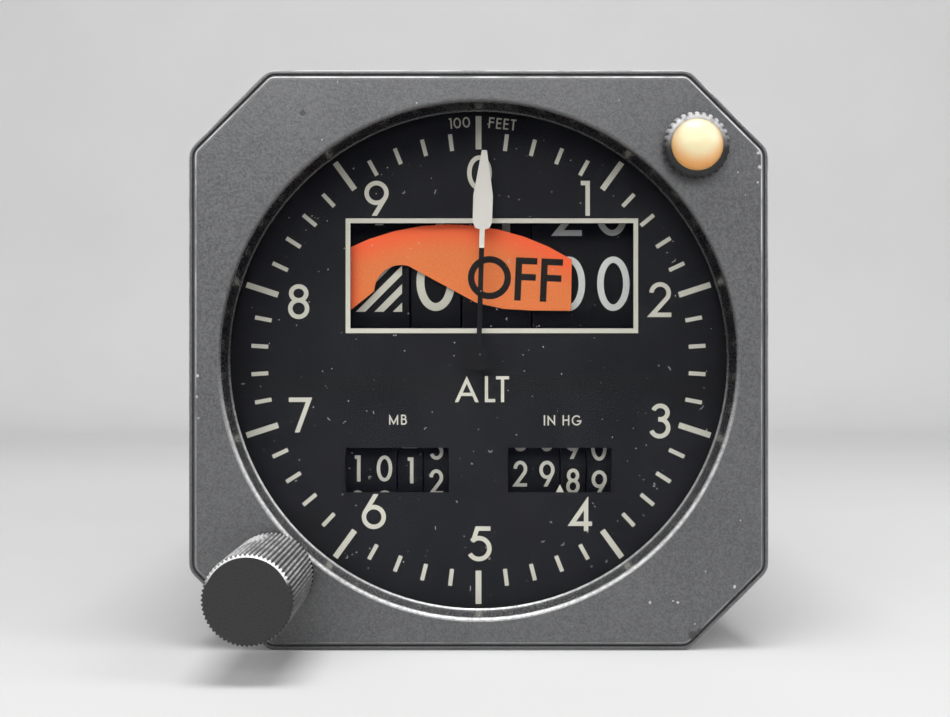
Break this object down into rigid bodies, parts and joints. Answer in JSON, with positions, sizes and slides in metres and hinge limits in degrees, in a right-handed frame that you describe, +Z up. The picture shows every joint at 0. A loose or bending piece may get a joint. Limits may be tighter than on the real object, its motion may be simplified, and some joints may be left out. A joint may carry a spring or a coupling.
{
  "type": "aircraft altimeter",
  "caption": "Square panel altimeter indicator with pointer dial, drum counters, pressure setting knob, warning flag, push lamp and a long case with a rear connector.",
  "frame": {"origin": "on the dial axis, in the plane of the bezel's rear face, which seats on the panel", "axes": "+X to the right and +Z up as seen from the front, +Y to the rear along the case"},
  "size_m": [0.0826, 0.1875, 0.0826],
  "materials": {
    "bezel_paint": "satin dark grey paint, finely grained, chipped at the edges",
    "case_paint": "semi-matt black paint",
    "glass": "coated cover glass",
    "seal": "black rubber",
    "dial_black": "matt black with printed cream marks",
    "pointer_white": "matt off-white",
    "drum_black": "matt black with printed figures",
    "flag_orange": "matt fluorescent orange with black letters",
    "brass": "machined",
    "steel": "ground",
    "frame_aluminium": "machined and anodised clear",
    "motor_can": "turned",
    "potentiometer_blue": "moulded",
    "knob_black": "black, worn grey on the knurl",
    "lens_amber": "frosted amber lens",
    "lamp_black": "satin black",
    "bulb": "clear bulb",
    "card_green": "varnished board",
    "connector_olive": "olive plating",
    "insert_black": "moulded, with plated pins"
  },
  "bodies": {
    "housing": {"bezel": "bezel_paint", "cover_glass": "glass", "glass_seal": "seal", "dial_spacer": "dial_black", "dial_plate": "dial_black", "dial_retaining_ring": "frame_aluminium", "pointer_bridge": "frame_aluminium", "counter_axle": "steel", "servo_motor": "motor_can", "altitude_synchro": "motor_can", "baro_axle": "steel", "knob_bushing": "lamp_black", "baro_potentiometer": "potentiometer_blue", "flag_motor": "motor_can", "lamp_bushing": "lamp_black", "lamp_bulb": "bulb", "left_side_plate": "frame_aluminium", "right_side_plate": "frame_aluminium", "front_gear_plate": "frame_aluminium", "rear_gear_plate": "frame_aluminium", "frame_posts": "steel", "tie_rods": "steel", "circuit_cards": "card_green", "case_shell": "case_paint", "rear_cover": "case_paint", "rear_screws": "steel", "connector_shell": "connector_olive", "connector_insert": "insert_black"},
    "tens_drum": {"tens_drum": "drum_black", "bevel_gear": "brass"},
    "hundreds_drum": {"hundreds_drum": "drum_black"},
    "thousands_drum": {"thousands_drum": "drum_black"},
    "ten_thousands_drum": {"ten_thousands_drum": "drum_black"},
    "counter_drive": {"counter_drive_shaft": "steel", "counter_drive_gear": "brass", "bevel_pinion": "brass"},
    "idler": {"idler_gear": "brass"},
    "altitude_train": {"altitude_shaft": "steel", "altitude_gear": "brass"},
    "pointer": {"pointer": "pointer_white", "pointer_arbor": "steel"},
    "servo_rotor": {"servo_pinion": "steel"},
    "synchro_rotor": {"altitude_synchro_gear": "brass"},
    "knob": {"baro_knob": "knob_black", "knob_shaft": "steel", "knob_crown_gear": "brass"},
    "cross_shaft": {"cross_shaft": "steel", "cross_gears": "brass"},
    "inch_hundredths": {"inch_hundredths_drum": "drum_black", "inch_drive_gear": "brass"},
    "inch_tenths": {"inch_tenths_drum": "drum_black"},
    "inch_units": {"inch_units_drum": "drum_black"},
    "millibar_units": {"millibar_units_drum": "drum_black", "millibar_drive_gear": "brass"},
    "millibar_tens": {"millibar_tens_drum": "drum_black"},
    "millibar_thousands": {"millibar_thousands_drum": "drum_black"},
    "flag": {"off_flag": "flag_orange"},
    "lamp_head": {"lamp_lens": "lens_amber", "lamp_ring": "lamp_black"}
  },
  "joints": [
    {"name": "tens_drum_spin", "type": "hinge", "parent": "housing", "child": "tens_drum", "pos_m": [0, 0.0221, 0.01167], "axis": [1, 0, 0], "continuous": true},
    {"name": "hundreds_drum_spin", "type": "hinge", "parent": "housing", "child": "hundreds_drum", "pos_m": [0, 0.0221, 0.01167], "axis": [1, 0, 0], "continuous": true},
    {"name": "thousands_drum_spin", "type": "hinge", "parent": "housing", "child": "thousands_drum", "pos_m": [0, 0.0221, 0.01167], "axis": [1, 0, 0], "continuous": true},
    {"name": "ten_thousands_drum_spin", "type": "hinge", "parent": "housing", "child": "ten_thousands_drum", "pos_m": [0, 0.0221, 0.01167], "axis": [1, 0, 0], "continuous": true},
    {"name": "counter_drive_spin", "type": "hinge", "parent": "housing", "child": "counter_drive", "pos_m": [0.0314, 0, 0.01167], "axis": [0, 1, 0], "continuous": true},
    {"name": "idler_spin", "type": "hinge", "parent": "housing", "child": "idler", "pos_m": [0.01129, 0, 0.00562], "axis": [0, 1, 0], "continuous": true},
    {"name": "altitude_train_spin", "type": "hinge", "parent": "housing", "child": "altitude_train", "pos_m": [0, 0, -0.0084], "axis": [0, 1, 0], "continuous": true},
    {"name": "pointer_spin", "type": "hinge", "parent": "housing", "child": "pointer", "pos_m": [0, 0, 0], "axis": [0, 1, 0], "continuous": true},
    {"name": "servo_rotor_spin", "type": "hinge", "parent": "housing", "child": "servo_rotor", "pos_m": [0.00493, 0, 0.0231], "axis": [0, 1, 0], "continuous": true},
    {"name": "synchro_rotor_spin", "type": "hinge", "parent": "housing", "child": "synchro_rotor", "pos_m": [-0.02318, 0, -0.00219], "axis": [0, 1, 0], "continuous": true},
    {"name": "knob_turn", "type": "hinge", "parent": "housing", "child": "knob", "pos_m": [-0.02917, 0, -0.03018], "axis": [0, 1, 0], "range_deg": [-1910, 1185]},
    {"name": "cross_shaft_spin", "type": "hinge", "parent": "housing", "child": "cross_shaft", "pos_m": [0, 0.0121, -0.03018], "axis": [1, 0, 0], "continuous": true},
    {"name": "inch_hundredths_spin", "type": "hinge", "parent": "housing", "child": "inch_hundredths", "pos_m": [0, 0.0121, -0.0167], "axis": [1, 0, 0], "continuous": true},
    {"name": "inch_tenths_spin", "type": "hinge", "parent": "housing", "child": "inch_tenths", "pos_m": [0, 0.0121, -0.0167], "axis": [1, 0, 0], "continuous": true},
    {"name": "inch_units_spin", "type": "hinge", "parent": "housing", "child": "inch_units", "pos_m": [0, 0.0121, -0.0167], "axis": [1, 0, 0], "continuous": true},
    {"name": "millibar_units_spin", "type": "hinge", "parent": "housing", "child": "millibar_units", "pos_m": [0, 0.0121, -0.0167], "axis": [1, 0, 0], "continuous": true},
    {"name": "millibar_tens_spin", "type": "hinge", "parent": "housing", "child": "millibar_tens", "pos_m": [0, 0.0121, -0.0167], "axis": [1, 0, 0], "continuous": true},
    {"name": "millibar_thousands_spin", "type": "hinge", "parent": "housing", "child": "millibar_thousands", "pos_m": [0, 0.0121, -0.0167], "axis": [1, 0, 0], "continuous": true},
    {"name": "flag_swing", "type": "hinge", "parent": "housing", "child": "flag", "pos_m": [-0.0315, 0, 0.003], "axis": [0, -1, 0], "range_deg": [0, 32]},
    {"name": "lamp_press", "type": "slide", "parent": "housing", "child": "lamp_head", "axis": [0, 1, 0], "range_m": [0, 0.001], "stiffness_N_per_m": 250, "springref_m": -0.002}
  ],
  "couplings": [
    {"joint": "hundreds_drum_spin", "follows": "tens_drum_spin", "ratio": 0.2},
    {"joint": "thousands_drum_spin", "follows": "tens_drum_spin", "ratio": 0.02},
    {"joint": "ten_thousands_drum_spin", "follows": "tens_drum_spin", "ratio": 0.002},
    {"joint": "counter_drive_spin", "follows": "tens_drum_spin", "ratio": -1},
    {"joint": "idler_spin", "follows": "tens_drum_spin", "ratio": 0.4},
    {"joint": "altitude_train_spin", "follows": "tens_drum_spin", "ratio": -0.2},
    {"joint": "pointer_spin", "follows": "tens_drum_spin", "ratio": 0.2},
    {"joint": "servo_rotor_spin", "follows": "tens_drum_spin", "ratio": -1.6667},
    {"joint": "synchro_rotor_spin", "follows": "tens_drum_spin", "ratio": 0.2},
    {"joint": "cross_shaft_spin", "follows": "knob_turn", "ratio": -2.5},
    {"joint": "inch_hundredths_spin", "follows": "knob_turn", "ratio": 3.3696},
    {"joint": "inch_tenths_spin", "follows": "knob_turn", "ratio": 0.33696},
    {"joint": "inch_units_spin", "follows": "knob_turn", "ratio": 0.033696},
    {"joint": "millibar_units_spin", "follows": "knob_turn", "ratio": 1.1413},
    {"joint": "millibar_tens_spin", "follows": "knob_turn", "ratio": 0.11413},
    {"joint": "millibar_thousands_spin", "follows": "knob_turn", "ratio": 0.011413}
  ]
}
